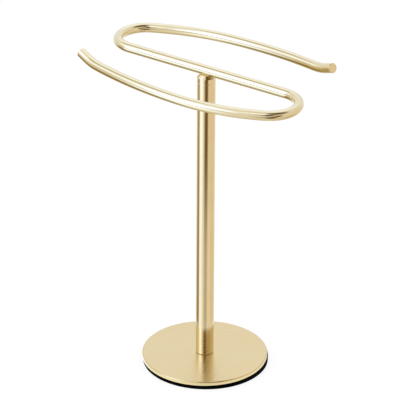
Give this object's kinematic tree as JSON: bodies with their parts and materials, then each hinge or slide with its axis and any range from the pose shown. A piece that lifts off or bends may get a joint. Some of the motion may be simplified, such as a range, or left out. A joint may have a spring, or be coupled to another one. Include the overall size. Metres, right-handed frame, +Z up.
{
  "type": "towel stand",
  "caption": "Freestanding hand-towel stand: an S-shaped tubular rail with bowed arms on a slim post, over a round weighted base with a rubber pad.",
  "frame": {"origin": "on the floor under the middle of the round base, which is the post's axis", "axes": "+Z up along the post, X along the rail's straight middle bar, +Y towards the rear arm"},
  "size_m": [0.304, 0.1908, 0.4068],
  "materials": {
    "rail_brass": "brass-coloured plating, satin, brushed along the tube",
    "plug_brass": "brass-coloured plating, satin, turned",
    "head_brass": "brass-coloured plating, satin, turned",
    "post_brass": "brass-coloured plating, satin, brushed round the tube",
    "cover_brass": "brass-coloured plating, satin, brushed in circles",
    "plain_steel": "turned, unplated",
    "zinc_steel": "bright zinc plating",
    "black_iron": "matt black paint",
    "black_rubber": "matt, cut edge",
    "amber_nylon": "satin, amber"
  },
  "bodies": {
    "root": {"towel_rail": "rail_brass", "rail_plug_rear": "plug_brass", "rail_plug_front": "plug_brass", "rail_head": "head_brass", "head_stud": "plain_steel", "post_top_insert": "plain_steel", "post_tube": "post_brass", "post_foot_insert": "plain_steel", "foot_gasket": "amber_nylon", "base_cover": "cover_brass", "base_weight": "black_iron", "base_pad": "black_rubber", "flat_washer": "zinc_steel", "lock_washer": "zinc_steel", "base_bolt": "zinc_steel"}
  },
  "joints": []
}
